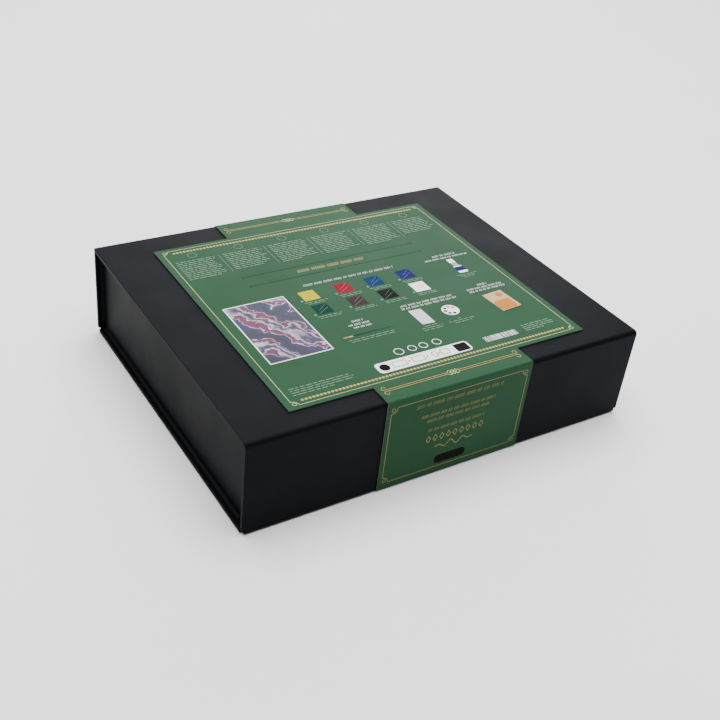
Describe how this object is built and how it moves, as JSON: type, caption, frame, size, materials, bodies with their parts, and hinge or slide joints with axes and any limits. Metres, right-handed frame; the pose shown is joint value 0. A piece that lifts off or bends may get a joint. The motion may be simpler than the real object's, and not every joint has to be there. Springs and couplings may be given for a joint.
{
  "type": "paint set box",
  "caption": "Book-style rigid board box with a magnetic flap and a printed band, holding paint tubes, a bottle, a brush and a palette in foam, and lying on its lid.",
  "frame": {"origin": "middle of the face that the closed box lies on, which is the band over the lid", "axes": "+X along the spine, +Y from the spine to the flap, +Z from the lid up to the base"},
  "size_m": [0.3, 0.2442, 0.0703],
  "materials": {
    "cover_paper": "matte laminated black paper",
    "greyboard": "raw grey board",
    "lining_paper": "uncoated black paper",
    "sleeve_card": "printed green card, matte",
    "magnet": "nickel-plated",
    "plate": "plain steel",
    "foam": "black closed-cell foam",
    "canvas": "primed cotton on board",
    "guide_paper": "coated paper",
    "pages": "uncoated paper",
    "cap_plastic": "fine-grained",
    "bottle_plastic": "smooth",
    "bottle_cap_plastic": "fluted",
    "palette_plastic": "smooth",
    "handle_lacquer": "lacquered black",
    "ferrule_metal": "polished",
    "bristle": "golden synthetic hair",
    "tube_yellow": "satin printed tube",
    "tube_crimson": "satin printed tube",
    "tube_blue": "satin printed tube",
    "tube_ultramarine": "satin printed tube",
    "tube_dark_green": "satin printed tube",
    "tube_brown": "satin printed tube",
    "tube_black": "satin printed tube",
    "tube_white": "satin printed tube"
  },
  "bodies": {
    "lid": {"lid_board": "greyboard", "lid_wrap": "cover_paper", "lid_lining": "lining_paper", "spine_fold": "cover_paper", "flap_fold": "cover_paper"},
    "flap": {"flap_board": "greyboard", "flap_wrap": "cover_paper", "flap_lining": "lining_paper", "flap_magnet_left": "magnet", "flap_magnet_right": "magnet"},
    "tray": {"base_board": "greyboard", "spine_board": "greyboard", "cover_wrap": "cover_paper", "tray_floor": "greyboard", "tray_back": "greyboard", "tray_front": "greyboard", "tray_left": "greyboard", "tray_right": "greyboard", "tray_wrap": "cover_paper", "tray_lining": "lining_paper", "tray_plate_left": "plate", "tray_plate_right": "plate", "insert_upper": "foam", "insert_lower": "foam", "canvas_board": "canvas", "guide_cover": "guide_paper", "guide_pages": "pages", "bottle": "bottle_plastic", "bottle_cap": "bottle_cap_plastic", "brush_handle": "handle_lacquer", "brush_ferrule": "ferrule_metal", "brush_bristles": "bristle", "palette": "palette_plastic", "tube_1": "tube_yellow", "tube_cap_1": "cap_plastic", "tube_2": "tube_crimson", "tube_cap_2": "cap_plastic", "tube_3": "tube_blue", "tube_cap_3": "cap_plastic", "tube_4": "tube_ultramarine", "tube_cap_4": "cap_plastic", "tube_5": "tube_dark_green", "tube_cap_5": "cap_plastic", "tube_6": "tube_brown", "tube_cap_6": "cap_plastic", "tube_7": "tube_black", "tube_cap_7": "cap_plastic", "tube_8": "tube_white", "tube_cap_8": "cap_plastic"},
    "sleeve_base": {"sleeve_base": "sleeve_card"},
    "sleeve_flap": {"sleeve_flap": "sleeve_card"},
    "sleeve_lid": {"sleeve_lid": "sleeve_card"}
  },
  "joints": [
    {"name": "tray_hinge", "type": "hinge", "parent": "lid", "child": "tray", "pos_m": [0, -0.12, 0.00205], "axis": [1, 0, 0], "range_deg": [0, 90]},
    {"name": "flap_hinge", "type": "hinge", "parent": "lid", "child": "flap", "pos_m": [0, 0.12, 0.00205], "axis": [-1, 0, 0], "range_deg": [0, 90]},
    {"name": "sleeve_slide", "type": "slide", "parent": "tray", "child": "sleeve_base", "axis": [1, 0, 0], "range_m": [-0.27, 0.27]},
    {"name": "sleeve_lid_slide", "type": "slide", "parent": "lid", "child": "sleeve_lid", "axis": [1, 0, 0], "range_m": [-0.27, 0.27]},
    {"name": "sleeve_flap_slide", "type": "slide", "parent": "flap", "child": "sleeve_flap", "axis": [1, 0, 0], "range_m": [-0.27, 0.27]}
  ],
  "couplings": [
    {"joint": "sleeve_lid_slide", "follows": "sleeve_slide", "ratio": 1},
    {"joint": "sleeve_flap_slide", "follows": "sleeve_slide", "ratio": 1}
  ]
}
